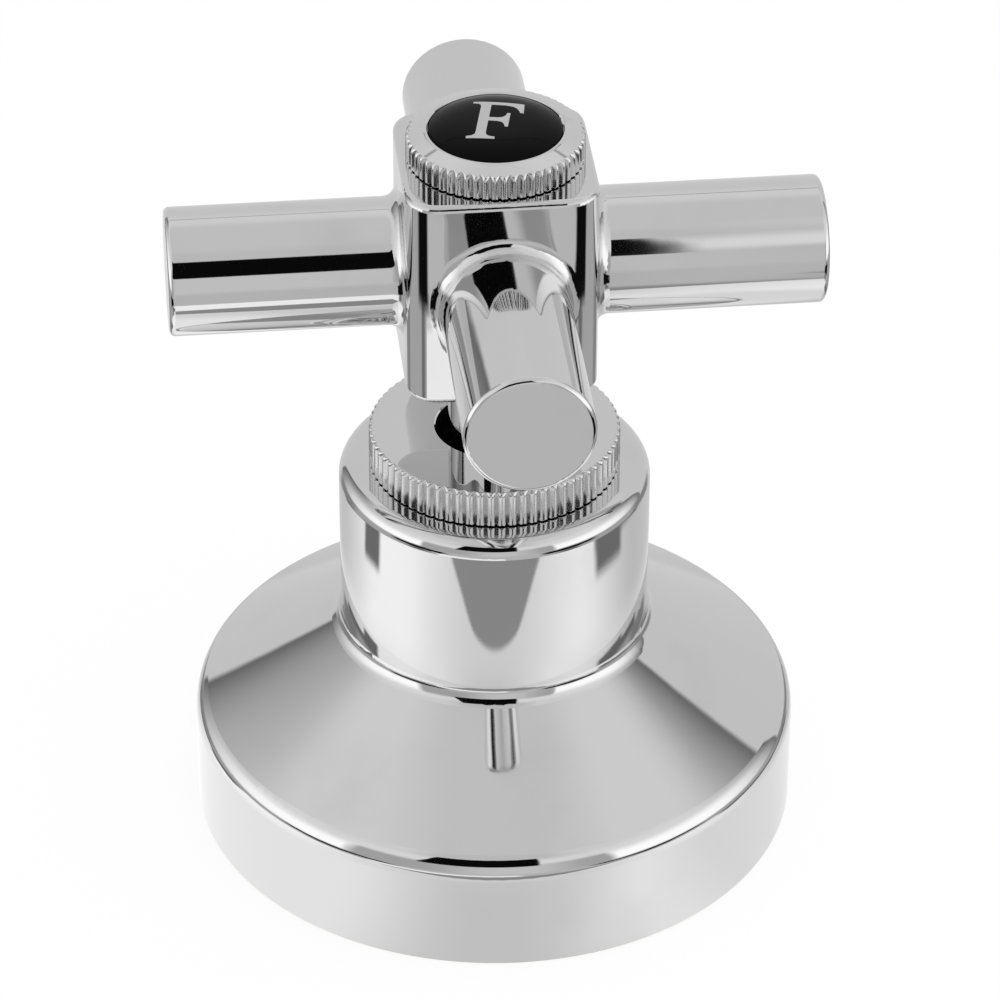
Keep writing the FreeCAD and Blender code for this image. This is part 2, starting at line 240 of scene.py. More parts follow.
class Signal:
    """One output socket of a shader tree, with arithmetic that adds Math nodes."""

    def __init__(self, tree, socket):
        self.tree = tree
        self.socket = socket

    @classmethod
    def node(cls, tree, kind, settings=None, inputs=None, output=0):
        """Adds a node, sets it up, joins its inputs and returns one of its outputs."""
        made = tree.nodes.new(kind)
        for key, value in (settings or {}).items():
            setattr(made, key, value)
        for key, value in (inputs or {}).items():
            if isinstance(value, Signal):
                tree.links.new(value.socket, made.inputs[key])
            else:
                made.inputs[key].default_value = value
        return cls(tree, made.outputs[output]) if len(made.outputs) else None

    def maths(self, operation, *others):
        """Math node of the given operation on this value and others."""
        inputs = dict(enumerate((self, *others)))
        return Signal.node(self.tree, "ShaderNodeMath", {"operation": operation}, inputs)

    def __add__(self, other):
        return self.maths("ADD", other)

    __radd__ = __add__

    def __sub__(self, other):
        return self.maths("SUBTRACT", other)

    def __rsub__(self, other):
        return Signal.node(self.tree, "ShaderNodeMath", {"operation": "SUBTRACT"}, {0: other, 1: self})

    def __mul__(self, other):
        return self.maths("MULTIPLY", other)

    def __truediv__(self, other):
        return self.maths("DIVIDE", other)

    def step(self, low, high):
        """Smooth rise from 0 at low to 1 at high."""
        return Signal.node(self.tree, "ShaderNodeMapRange", {"interpolation_type": "SMOOTHSTEP"},
                           {"Value": self, "From Min": low, "From Max": high})

    def line(self, low, high):
        """Straight rise from 0 at low to 1 at high."""
        return Signal.node(self.tree, "ShaderNodeMapRange", None,
                           {"Value": self, "From Min": low, "From Max": high})

    def band(self, low, high, soft):
        """One between low and high, falling to 0 over soft on each side."""
        return self.step(low - soft, low + soft) * (1 - self.step(high - soft, high + soft))

    def toward(self, target, amount):
        """This value moved toward a target by an amount from 0 to 1."""
        return self + (target - self) * amount


def made_material(name, shader, *settings):
    """Material from the function that builds its shader."""
    material = bpy.data.materials.new(name)
    material.use_nodes = True
    tree = material.node_tree
    tree.nodes.clear()
    Signal.node(tree, "ShaderNodeOutputMaterial", None, {"Surface": shader(tree, *settings)})
    return material


def part_place(tree, output="Object"):
    """The part's own coordinates, or its own directions for the output Normal."""
    return Signal.node(tree, "ShaderNodeTexCoord", None, None, output)


def split(place):
    """The three components of a place or a direction."""
    parts = Signal.node(place.tree, "ShaderNodeSeparateXYZ", None, {0: place}).socket.node
    return [Signal(place.tree, socket) for socket in parts.outputs]


def noise(place, scale, detail):
    """Noise over a place, about 0 to 1."""
    inputs = {"Vector": place, "Scale": scale, "Detail": detail}
    return Signal.node(place.tree, "ShaderNodeTexNoise", None, inputs)


def mix_colours(amount, first, second):
    """Colour between two colours by an amount."""
    inputs = {0: amount, 6: (*first, 1.0), 7: (*second, 1.0)}
    return Signal.node(amount.tree, "ShaderNodeMix", {"data_type": "RGBA"}, inputs, 2)


def scaled(colour, factor):
    """Colour times a factor."""
    return tuple(part * factor for part in colour)


def axis_distance(x, y):
    """Distance from the part's axis."""
    return (x * x + y * y).maths("SQRT")


def turned_lay(place, across, along):
    """Coordinates that change fast across the turning marks and slowly along them."""
    x, y, z = split(place)
    return Signal.node(place.tree, "ShaderNodeCombineXYZ", None, {
        0: axis_distance(x, y) * across, 1: z * across, 2: y.maths("ARCTAN2", x) * along})


def relief_normal(relief):
    """Normal of a relief given in metres."""
    inputs = {"Strength": 1.0, "Distance": 1.0, "Height": relief}
    return Signal.node(relief.tree, "ShaderNodeBump", None, inputs)


def principled(tree, inputs):
    """Principled shader with the given inputs."""
    return Signal.node(tree, "ShaderNodeBsdfPrincipled", None, inputs)


def chrome_shader(tree, finish, lay, roughness):
    """Polished chrome: fine lay of the polishing, soft waviness, and faint handling haze."""
    place = part_place(tree)
    haze = noise(place, 85.0, 5.0).step(0.5, 0.78)
    grain_height = 0.0000004
    if lay == "turned":
        grain = turned_lay(place, 2200, 2.0)
        wave_scale, wave_height = 130.0, 0.000004
    else:
        grain = Signal.node(tree, "ShaderNodeMapping", None, {0: place, 3: (900.0, 900.0, 1900.0)})
        wave_scale, wave_height = 210.0, 0.0000045
    relief = noise(grain, 1.0, 2.0) * grain_height + noise(place, wave_scale, 1.0) * wave_height
    return principled(tree, {
        "Base Color": mix_colours(haze, finish.chrome, finish.chrome_worn),
        "Metallic": 1.0,
        "Roughness": roughness + haze * 0.03,
        "Normal": relief_normal(relief),
    })


def raw_shader(tree, colour, roughness):
    """Dull metal with turning rings and stains."""
    place = part_place(tree)
    lines = noise(turned_lay(place, 1600, 0.6), 1.0, 3.0)
    stain = noise(place, 160.0, 6.0).step(0.35, 0.7)
    line_height = 0.000012
    return principled(tree, {
        "Base Color": mix_colours(stain, colour, scaled(colour, 0.62)),
        "Metallic": 1.0,
        "Roughness": roughness + stain * 0.16 + lines * 0.1,
        "Normal": relief_normal(lines * line_height),
    })


def shell_shader(tree, finish):
    """Chrome outside, and dull thin plate on the faces that look inward or down."""
    x, y = split(part_place(tree))[:2]
    nx, ny, nz = split(part_place(tree, "Normal"))
    tiny = 0.000001
    outward = (nx * x + ny * y) / (axis_distance(x, y) + tiny)
    hidden = outward.maths("LESS_THAN", -0.05).maths("MAXIMUM", nz.maths("LESS_THAN", -0.5))
    return Signal.node(tree, "ShaderNodeMixShader", None, {
        0: hidden,
        1: chrome_shader(tree, finish, "turned", finish.chrome_roughness),
        2: raw_shader(tree, finish.raw, finish.shell_roughness),
    })


def well_shade_shader(tree, finish):
    """Painted shade for the stem well: near-black metal that gives hardly any light back, mottled by noise.
    """
    shade_mottle = noise(part_place(tree), 700.0, 4.0)
    return principled(tree, {
        "Base Color": mix_colours(shade_mottle, finish.well, scaled(finish.well, 0.4)),
        "Roughness": 0.5 + shade_mottle * 0.3,
        "Specular IOR Level": 0.1,
    })


def disc_shader(tree, finish):
    """Black gloss with a faint haze."""
    haze = noise(part_place(tree), 420.0, 4.0)
    return principled(tree, {
        "Base Color": mix_colours(haze, finish.disc, scaled(finish.disc, 2)),
        "Roughness": 0.05 + haze * 0.05,
        "IOR": 1.15,
    })


def letter_shader(tree, finish):
    """Pale print with fine specks."""
    speck = noise(part_place(tree), 2600.0, 3.0)
    return principled(tree, {
        "Base Color": mix_colours(speck, finish.letter, scaled(finish.letter, 0.88)),
        "Roughness": 0.3 + speck * 0.15,
    })


def chrome_material(name, finish, lay):
    """Chrome all over."""
    return made_material(name, chrome_shader, finish, lay, finish.chrome_roughness)


def knurl_material(name, finish):
    """Chrome on rolled teeth, which no wheel has polished."""
    return made_material(name, chrome_shader, finish, "turned", finish.knurl_roughness)


def add_object(name, data):
    """New object in the scene."""
    made = bpy.data.objects.new(name, data)
    bpy.context.scene.collection.objects.link(made)
    return made


def unit(vector):
    """Vector of length one."""
    return vector / np.linalg.norm(vector)


def outline_runs(corners):
    """Straight runs of an outline in (radius, height), as rows of radius, height and outward direction.

    The outline keeps its solid on the left of its travel."""
    runs = []
    for begin, end in zip(corners, corners[1:]):
        along, up = end[0] - begin[0], end[1] - begin[1]
        facing = unit(np.array((up, -along)))
        runs.append([(*begin, *facing), (*end, *facing)])
    return runs


def crest_drop(place):
    """Drop below a ridge's crest, 1 in the groove, at a place from 0 to 1 across a tooth."""
    return (np.hypot(2 * place - 1, CREST_SOFTNESS) - CREST_SOFTNESS) / CREST_RISE


def crest_slope(place):
    """Slope of that drop across the tooth."""
    across = 2 * place - 1
    return 2 * across / (np.hypot(across, CREST_SOFTNESS) * CREST_RISE)


class TurnedDraft:
    """Rings of points about Z, in millimetres, joined by bands of faces with their own corner directions."""

    def __init__(self, columns):
        self.turn = np.arange(columns) * (2 * math.pi / columns)
        self.points = []
        self.known = {}
        self.faces = []
        self.directions = []
        self.slots = []

    def ring(self, radius, height):
        """Point numbers of a ring. Points at one place are shared."""
        radius = np.broadcast_to(np.asarray(radius, float), self.turn.shape)
        height = np.broadcast_to(np.asarray(height, float), self.turn.shape)
        ring = np.stack((radius * np.cos(self.turn), radius * np.sin(self.turn), height), axis=1)
        numbers = []
        for point in map(tuple, (ring.round(5) + 0.0).tolist()):
            numbers.append(self.known.setdefault(point, len(self.points)))
            if numbers[-1] == len(self.points):
                self.points.append(point)
        return numbers

    def around(self, facing):
        """Directions round the axis from one (outward, upward) pair."""
        return np.stack((facing[0] * np.cos(self.turn), facing[0] * np.sin(self.turn),
                         np.full(len(self.turn), facing[1])), axis=1)

    def band(self, low, high, corners=None, slot=0):
        """Faces from one ring to the next.

        Corner directions are given for low start, low end, high end, high start."""
        count = len(self.turn)
        for start in range(count):
            end = (start + 1) % count
            numbers = [low[start], low[end], high[end], high[start]]
            if corners is None:
                a, b, c, d = (np.array(self.points[number]) for number in numbers)
                flat = np.cross(c - a, d - b)
                facing = [flat / max(np.linalg.norm(flat), 1e-12)] * 4
            else:
                facing = [corner[start] for corner in corners]
            keep = [place for place in range(4) if numbers[place] != numbers[place - 1]]
            if len(keep) < 3:
                continue
            self.faces.append([numbers[place] for place in keep])
            self.directions.extend(tuple(facing[place]) for place in keep)
            self.slots.append(slot)

    def turned(self, runs, slots=None):
        """Plain turned bands along the runs of an outline."""
        for number, run in enumerate(runs):
            slot = (slots or {}).get(number, 0)
            for before, after in zip(run, run[1:]):
                low, high = self.around(before[2:]), self.around(after[2:])
                corners = (low, np.roll(low, -1, axis=0), np.roll(high, -1, axis=0), high)
                self.band(self.ring(*before[:2]), self.ring(*after[:2]), corners, slot)

    def rows(self, rows, slot=0):
        """Bands through (radii, heights) rows, each face flat."""
        rings = [self.ring(*row) for row in rows]
        for low, high in zip(rings, rings[1:]):
            self.band(low, high, None, slot)

    def knurl(self, knurl, radius, foot, top, teeth, tooth_end, slot):
        """Upright V ridges with softened crests, bevelled at the foot and rounded off at the top."""
        root, depth, bevel = radius - mm(knurl.depth), mm(knurl.depth), mm(knurl.bevel)
        per_tooth = len(self.turn) // teeth
        place = (np.arange(len(self.turn)) % per_tooth) / per_tooth
        ridge = radius - depth * crest_drop(place)
        low_rows, high_rows = [(root, foot)], []
        for part in np.linspace(0, 1, TOOTH_FOOT_ROWS):
            low_rows.append((np.minimum(ridge, radius - bevel * (1 - part)), foot + bevel * part))
        for angle in np.linspace(0, math.pi / 2, TOOTH_END_ROWS):
            high_rows.append((root + (ridge - root) * math.cos(angle),
                              top - tooth_end * (1 - math.sin(angle))))
        self.rows(low_rows, slot)
        starts, ends = [], []
        for number, turn in enumerate(self.turn):
            for across, side, angle in ((place[number], starts, turn),
                                        (place[number] + 1 / per_tooth, ends, turn + self.turn[1])):
                slope = -depth * teeth / (2 * math.pi) * crest_slope(across)
                outward, along = unit(np.array((radius, -slope)))
                side.append((outward * math.cos(angle) - along * math.sin(angle),
                             outward * math.sin(angle) + along * math.cos(angle), 0.0))
        self.band(self.ring(*low_rows[-1]), self.ring(*high_rows[0]), (starts, ends, ends, starts), slot)
        self.rows(high_rows, slot)

    def make(self, name, materials):
        """Blender object in metres with these faces and corner directions."""
        mesh = bpy.data.meshes.new(name)
        mesh.from_pydata([tuple(MM * value for value in point) for point in self.points], [], self.faces)
        for material in materials:
            mesh.materials.append(material)
        mesh.polygons.foreach_set("use_smooth", [True] * len(self.faces))
        mesh.polygons.foreach_set("material_index", self.slots)
        mesh.normals_split_custom_set(self.directions)
        mesh.update()
        return add_object(name, mesh)


def helix_rows(draft, radius, depth, pitch, top, foot, step):
    """Rows down a bore with one V thread, from top to foot, plain at both ends."""
    rows = []
    for height in np.linspace(top, foot, max(2, int(round((top - foot) / step)) + 1)):
        phase = (height / pitch - draft.turn / (2 * math.pi)) % 1.0
        groove = 1 - np.abs(2 * phase - 1)
        fade = min(1.0, (top - height) / pitch, (height - foot) / pitch)
        rows.append((radius + depth * groove * max(0.0, fade), height))
    return rows


def square_reach(turn, half_side, corner):
    """Distance from the middle to the edge of a square with rounded corners, in each direction."""
    across = np.stack((np.cos(turn), np.sin(turn)), axis=1)
    low, high = np.zeros(len(turn)), np.full(len(turn), 2 * half_side)
    for _ in range(HALVINGS):
        middle = (low + high) / 2
        over = np.maximum(np.abs(across * middle[:, None]) - half_side + corner, 0)
        outside = np.hypot(over[:, 0], over[:, 1]) > corner
        low, high = np.where(outside, low, middle), np.where(outside, middle, high)
    return (low + high) / 2


def stand_for(piece, body, node):
    """Lets a new piece stand for a solid, on its body."""
    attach(piece, body)
    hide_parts(node)


def dress_node(name, material):
    """Gives a carried-over solid its material."""
    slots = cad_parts[name].data.materials
    slots.clear()
    slots.append(material)


class TAP_OT_escutcheon(bpy.types.Operator):
    """Plate the escutcheon's shell and leave its inside dull"""
    bl_idname = "tap_handle.escutcheon"
    bl_label = "Escutcheon"

    def execute(self, context):
        dress_node("escutcheon", made_material("escutcheon_plate", shell_shader, context.scene.tap_finish))
        return {"FINISHED"}


class TAP_OT_lock_nut(bpy.types.Operator):
    """Make the knurled lock nut with its stem well and threaded skirt"""
    bl_idname = "tap_handle.lock_nut"
    bl_label = "Lock nut"

    def execute(self, context):
        nut, knurl, finish = context.scene.tap_nut, context.scene.tap_knurl, context.scene.tap_finish
        draft = TurnedDraft(nut.teeth * knurl.steps)
        painted_well_slot, thread_slot, teeth_slot = 1, 2, 3
        radius, skirt, thread = mm(nut.diameter) / 2, mm(nut.skirt) / 2, mm(nut.thread) / 2
        well, guide = mm(nut.well) / 2, mm(nut.guide) / 2
        root, inner = radius - mm(knurl.depth), radius - mm(knurl.undercut_depth)
        shadow = NECK_TOP + mm(knurl.undercut_height)
        skirt_foot = foot_of("lock_nut")
        guide_top = NUT_TOP - mm(nut.well_depth)
        guide_foot = guide_top - mm(nut.guide_length)
        thread_top, thread_foot = guide_foot - EDGE_BREAK, skirt_foot + THREAD_LEAD
        draft.turned(outline_runs([
            (thread + THREAD_LEAD, skirt_foot), (skirt - EDGE_BREAK, skirt_foot),
            (skirt, skirt_foot + EDGE_BREAK), (skirt, NECK_TOP), (inner, NECK_TOP), (inner, shadow),
            (root, shadow),
        ]))
        draft.knurl(knurl, radius, shadow, NUT_TOP, nut.teeth, mm(nut.tooth_end), teeth_slot)
        draft.turned(outline_runs([
            (root, NUT_TOP), (well + WELL_BREAK, NUT_TOP), (well, NUT_TOP - WELL_BREAK), (well, guide_top),
            (guide + GUIDE_BREAK, guide_top), (guide, guide_top - GUIDE_BREAK), (guide, guide_foot),
            (thread, guide_foot), (thread, thread_top),
        ]), dict.fromkeys(range(2, 6), painted_well_slot))
        draft.rows(helix_rows(draft, thread, mm(nut.thread_depth), mm(nut.thread_pitch),
                              thread_top, thread_foot, NUT_THREAD_STEP), thread_slot)
        draft.turned(outline_runs([(thread, thread_foot), (thread + THREAD_LEAD, skirt_foot)]),
                     {0: thread_slot})
        piece = draft.make("lock_nut_knurled", [
            chrome_material("nut_chrome", finish, "turned"),
            # The well's faces take the painted-shade material.
            made_material("nut_well_painted_shade", well_shade_shader, finish),
            made_material("nut_thread", raw_shader, finish.raw, finish.thread_roughness),
            knurl_material("nut_knurl", finish),
        ])
        stand_for(piece, "trim_base", "lock_nut")
        return {"FINISHED"}


class TAP_OT_spindle_adaptor(bpy.types.Operator):
    """Make the bright stem with its square tang and serrated socket"""
    bl_idname = "tap_handle.spindle_adaptor"
    bl_label = "Spindle adaptor"

    def execute(self, context):
        adaptor, finish = context.scene.tap_adaptor, context.scene.tap_finish
        draft = TurnedDraft(adaptor.serrations * adaptor.serration_steps)
        raw_slot = 1
        stem, socket, hole = mm(adaptor.stem) / 2, mm(adaptor.socket) / 2, mm(adaptor.screw_hole) / 2
        foot, top = foot_of("spindle_adaptor"), top_of("spindle_adaptor")
        shoulder = HUB_FOOT + mm(adaptor.shoulder)
        socket_top = foot + mm(adaptor.socket_depth)
        hole_foot = foot_of("handle_screw") - SEAT_GAP
        tang = square_reach(draft.turn, mm(adaptor.tang) / 2, mm(adaptor.tang_corner))
        place = (draft.turn * adaptor.serrations / (2 * math.pi)) % 1.0
        groove = np.clip(FLANK_REACH - np.abs(4 * place - 2) * FLANK_REACH, 0, 1)
        teeth = socket + mm(adaptor.serration_depth) * groove
        draft.turned(outline_runs([
            (socket + SOCKET_LEAD, foot), (stem - EDGE_BREAK, foot), (stem, foot + EDGE_BREAK),
            (stem, shoulder),
        ]))
        draft.rows([(stem, shoulder), (tang, shoulder), (tang, top - TANG_BREAK), (tang - TANG_BREAK, top),
                    (hole + HOLE_LEAD, top)])
        draft.rows([(hole + HOLE_LEAD, top), (hole, top - HOLE_LEAD)], raw_slot)
        draft.rows(helix_rows(draft, hole, mm(adaptor.hole_depth), mm(adaptor.hole_pitch),
                              top - HOLE_LEAD, hole_foot, HOLE_THREAD_STEP), raw_slot)
        draft.rows([(hole, hole_foot), (0, hole_foot)], raw_slot)
        draft.rows([(0, socket_top), (socket, socket_top), (teeth, socket_top - EDGE_BREAK),
                    (teeth, foot + SOCKET_LEAD), (socket + SOCKET_LEAD, foot)], raw_slot)
        piece = draft.make("spindle_adaptor_stem", [
            chrome_material("stem_chrome", finish, "turned"),
            made_material("stem_socket", raw_shader, finish.raw, finish.socket_roughness),
        ])
        stand_for(piece, "handle", "spindle_adaptor")
        return {"FINISHED"}


class TAP_OT_cross_handle(bpy.types.Operator):
    """Plate the cast hub and arms"""
    bl_idname = "tap_handle.cross_handle"
    bl_label = "Cross handle"

    def execute(self, context):
        dress_node("cross_handle", chrome_material("cross_chrome", context.scene.tap_finish, "cast"))
        return {"FINISHED"}


class TAP_OT_screw_set(bpy.types.Operator):
    """Finish the handle screw and its washer in plain turned steel"""
    bl_idname = "tap_handle.screw_set"
    bl_label = "Screw and washer"

    def execute(self, context):
        finish = context.scene.tap_finish
        steel = made_material("screw_steel", raw_shader, finish.steel, finish.steel_roughness)
        dress_node("handle_screw", steel)
        dress_node("screw_washer", steel)
        return {"FINISHED"}


class TAP_OT_index_ring(bpy.types.Operator):
    """Make the knurled index ring with its lip and lever notch"""
    bl_idname = "tap_handle.index_ring"
    bl_label = "Index ring"

    def execute(self, context):
        ring, knurl, finish = context.scene.tap_ring, context.scene.tap_knurl, context.scene.tap_finish
        draft = TurnedDraft(ring.teeth * knurl.steps)
        teeth_slot = 1
        radius, spigot = mm(ring.diameter) / 2, mm(ring.spigot) / 2
        root, inner = radius - mm(knurl.depth), radius - mm(knurl.undercut_depth)
        recess = mm(context.scene.tap_disc.diameter) / 2 + SEAT_GAP
        hollow = spigot - mm(ring.spigot_wall)
        ring_top = HUB_TOP + mm(ring.height)
        lip_top = ring_top + mm(ring.lip_rise)
        shadow = HUB_TOP + mm(knurl.undercut_height)
        spigot_foot = HUB_TOP - mm(ring.spigot_length)
        floor_foot = DISC_SEAT - mm(ring.floor)
        draft.turned(outline_runs([
            (0, floor_foot), (hollow, floor_foot), (hollow, spigot_foot),
            (spigot - EDGE_BREAK, spigot_foot), (spigot, spigot_foot + EDGE_BREAK), (spigot, HUB_TOP),
            (inner, HUB_TOP), (inner, shadow), (root, shadow),
        ]))
        draft.knurl(knurl, radius, shadow, ring_top, ring.teeth, mm(ring.tooth_end), teeth_slot)
        lip, reach = recess + mm(ring.lip_width), mm(ring.notch_reach)
        crest, crest_top = lip + LIP_BREAK, lip_top - LIP_BREAK
        fall = (crest_top - ring_top) / (root - crest)
        draft.turned(outline_runs([(root, ring_top), (crest + reach, crest_top - reach * fall)]))
        away = np.abs((draft.turn - NOTCH_TURN + math.pi) % (2 * math.pi) - math.pi) * recess
        slope = []
        for part in np.linspace(1, 0, NOTCH_ROWS):
            width = mm(ring.notch) * (1 - NOTCH_TAPER * part)
            drop = mm(ring.notch_depth) * (1 - part) * np.clip(FLANK_REACH - 2 * away / width, 0, 1)
            slope.append((crest + reach * part, crest_top - reach * part * fall - drop))
        draft.rows(slope + [(lip, lip_top - drop), (recess + RECESS_BREAK, lip_top - drop),
                            (recess, lip_top - RECESS_BREAK - drop), (recess, DISC_SEAT)])
        draft.turned(outline_runs([(recess, DISC_SEAT), (0, DISC_SEAT)]))
        piece = draft.make("index_ring_knurled", [
            chrome_material("ring_chrome", finish, "turned"), knurl_material("ring_knurl", finish)])
        stand_for(piece, "handle", "index_ring")
        return {"FINISHED"}


# The letter's outline in its own units, and the spacing of the cuts that let it bend with the dome.
LETTER_TALL = 7.3
LETTER_SINK = 0.1
LETTER_CUT = 0.4
LETTER_SPAN = 4.0
LETTER_ORDER = Vector((1.0, 14.1, 173.2))
LETTER_OUTLINE = (
    (0.05, 0.0), (2.95, 0.0), (2.95, 0.36), (2.3, 0.48), (2.05, 0.72), (1.98, 1.15), (1.98, 3.42),
    (2.85, 3.42), (3.35, 3.28), (3.62, 2.95), (3.76, 2.40), (4.08, 2.40), (4.08, 5.10), (3.76, 5.10),
    (3.62, 4.52), (3.35, 4.22), (2.85, 4.09), (1.98, 4.09), (1.98, 6.68), (3.45, 6.68), (4.15, 6.55),
    (4.60, 6.22), (4.90, 5.72), (5.05, 5.30), (5.40, 5.30), (5.28, 7.30), (0.05, 7.30), (0.05, 6.94),
    (0.62, 6.84), (0.88, 6.60), (0.95, 6.15), (0.95, 1.15), (0.88, 0.72), (0.62, 0.46), (0.05, 0.36),
)


def dome_height(disc, distance):
    """Height of the disc's face at a distance from its axis, in millimetres."""
    rim = mm(disc.diameter) / 2
    part = np.minimum(np.asarray(distance, float) / rim, 1.0)
    return DISC_SEAT + mm(disc.edge) + mm(disc.dome) * (1 - part ** DOME_POWER)


def disc_runs(disc):
    """Outline of the disc: flat foot, straight edge, rounded edge and dome."""
    rim, rounding = mm(disc.diameter) / 2, mm(disc.edge_radius)
    edge_top = DISC_SEAT + mm(disc.edge) - rounding
    distances = np.linspace(rim - rounding, 0, DOME_ROWS)
    heights = dome_height(disc, distances)
    facings = [unit(np.array((-slope, 1.0))) for slope in np.gradient(heights, distances)]
    facings[-1] = np.array((0.0, 1.0))
    begin, end = np.array((rim, edge_top)), np.array((distances[0], heights[0]))
    corner, outward = np.array((rim, heights[0])), np.array((1.0, 0.0))
    edge = []
    for part in np.linspace(0, 1, DISC_EDGE_ROWS):
        point = (1 - part) ** 2 * begin + 2 * part * (1 - part) * corner + part ** 2 * end
        edge.append((*point, *unit((1 - part) * outward + part * facings[0])))
    dome = [(distance, height, *facing) for distance, height, facing in zip(distances, heights, facings)]
    return outline_runs([(0, DISC_SEAT), (rim, DISC_SEAT), (rim, edge_top)]) + [edge, dome]


def make_letter(disc, material):
    """Letter with a slight thickness that follows the dome."""
    scale = mm(disc.letter_height) / LETTER_TALL
    wide = max(point[0] for point in LETTER_OUTLINE)
    form = bmesh.new()
    form.faces.new([form.verts.new(((x - wide / 2) * scale, (y - LETTER_TALL / 2) * scale, 0.0))
                    for x, y in LETTER_OUTLINE])
    off_corners = 0.013
    for side in range(2):
        for cut in np.arange(-LETTER_SPAN, LETTER_SPAN + 0.01, LETTER_CUT):
            place, across = [0.0, 0.0, 0.0], [0.0, 0.0, 0.0]
            place[side], across[side] = cut + off_corners, 1.0
            bmesh.ops.bisect_plane(form, geom=form.verts[:] + form.edges[:] + form.faces[:],
                                   plane_co=place, plane_no=across)
    bmesh.ops.triangulate(form, faces=[face for face in form.faces if len(face.verts) > 4])
    raised = bmesh.ops.extrude_face_region(form, geom=form.faces[:])
    upper = {item for item in raised["geom"] if isinstance(item, bmesh.types.BMVert)}
    cosine, sine = math.cos(disc.letter_turn), math.sin(disc.letter_turn)
    for point in form.verts:
        x, y = point.co.x * cosine - point.co.y * sine, point.co.x * sine + point.co.y * cosine
        lift = mm(disc.letter_relief) if point in upper else -LETTER_SINK
        point.co = Vector((x, y, float(dome_height(disc, math.hypot(x, y))) + lift)) * MM
    bmesh.ops.recalc_face_normals(form, faces=form.faces[:])
    # Extrusion keeps no order of its own, so one is set here.
    form.verts.sort(key=lambda point: point.co.dot(LETTER_ORDER))
    form.faces.sort(key=lambda face: face.calc_center_median().dot(LETTER_ORDER))
    mesh = bpy.data.meshes.new("index_letter")
    form.to_mesh(mesh)
    form.free()
    mesh.materials.append(material)
    return add_object("index_letter", mesh)


class TAP_OT_index_disc(bpy.types.Operator):
    """Make the glossy domed disc and the letter on it"""
    bl_idname = "tap_handle.index_disc"
    bl_label = "Index disc and letter"

    def execute(self, context):
        disc, finish = context.scene.tap_disc, context.scene.tap_finish
        draft = TurnedDraft(DISC_COLUMNS)
        draft.turned(disc_runs(disc))
        face = draft.make("index_disc_domed", [made_material("disc_black", disc_shader, finish)])
        stand_for(face, "handle", "index_disc")
        letter = make_letter(disc, made_material("letter_print", letter_shader, finish))
        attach(letter, "handle")
        return {"FINISHED"}


def pointed(place, aim):
    """Turn of a camera or lamp that points it from its place at an aim."""
    return (Vector(aim) - Vector(place)).to_track_quat("-Z", "Y")


def add_camera(stage):
    """Camera at the photograph's viewing angle."""
    data = bpy.data.cameras.new("photo_camera")
    data.lens = stage.camera_lens
    data.sensor_width = 36.0
    data.clip_start = 0.01
    data.clip_end = 10.0
    camera = add_object("photo_camera", data)
    camera.location = stage.camera_place
    camera.rotation_mode = "QUATERNION"
    roll = Quaternion((0.0, 0.0, 1.0), stage.camera_roll)
    camera.rotation_quaternion = pointed(stage.camera_place, stage.camera_aim) @ roll
    bpy.context.scene.camera = camera


def bearing_of(x, y, turn):
    """Bearing from the camera side in degrees, growing to the right."""
    return (x.maths("ARCTAN2", y * -1.0) - turn) * DEGREES


def far_floor(side, spread):
    """Brightness of the far floor and of the tent's foot, dark at the front corners and the back seams."""
    light = 0.5 + side.band(-34, 36, 12) * 0.14 + spread.step(128, 142) * 0.25
    light = light.toward(0.3, spread.band(108, 136, 6))
    return light.toward(0.2, spread.band(44, 58, 5))


def tent_brightness(tree, stage):
    """Brightness of the tent's inside: grey roof, white side walls that fade to their seams, dark opening.

    Bearings and heights are in degrees."""
    x, y, z = split(part_place(tree))
    side = bearing_of(x, y, stage.tent_turn)
    spread = side.maths("ABSOLUTE")
    height = (z / stage.tent_radius).maths("ARCSINE") * DEGREES
    back, seam, opening = 0.757, 0.12, 0.004
    left_seam, right_seam, opening_top = -141, 121, 50.5
    to_left, to_right = 1 - side.line(left_seam, -70), side.line(76, right_seam)
    white = 1.42 - height.step(12, 36) * 0.46
    left = white - to_left * to_left * (white - seam)
    right = white - to_right * to_right * (white - seam)
    front = (0.5 + side.band(-12, 24, 14) * 0.24).toward(0.95, height.step(22, 33))
    wall = left.toward(back, 1 - side.step(left_seam, left_seam + 2))
    wall = wall.toward(front, side.step(-54, -47))
    wall = wall.toward(right, side.step(39, 43))
    wall = wall.toward(back, side.step(right_seam - 2, right_seam))
    light = far_floor(side, spread).toward(wall, height.step(-9, 0))
    roof = 0.86 - side.band(-32, 32, 12) * 0.17
    light = light.toward(roof, height.step(38, 54))
    light = light.toward(0.74, height.step(58, 72))
    # Seam between the roof and the back wall, and the opening in front, whose sides lean.
    light = light.toward(0.4, height.band(49.2, 50.4, 0.6) * spread.step(140, 155))
    leaning = side + (opening_top - height) * 0.1
    return light.toward(opening, height.band(23.5, opening_top, 0.8) * leaning.band(-24.4, 18.8, 0.8))


# Painted shadows on the floor at the part's sides: bearings from and to, softness, and the distances where
# they set in.
SIDE_SHADES = ((-100, -84, 2, 61, 64), (-126, -84, 3, 70, 74), (72, 97, 3, 62, 66), (72, 116, 3, 67, 71))


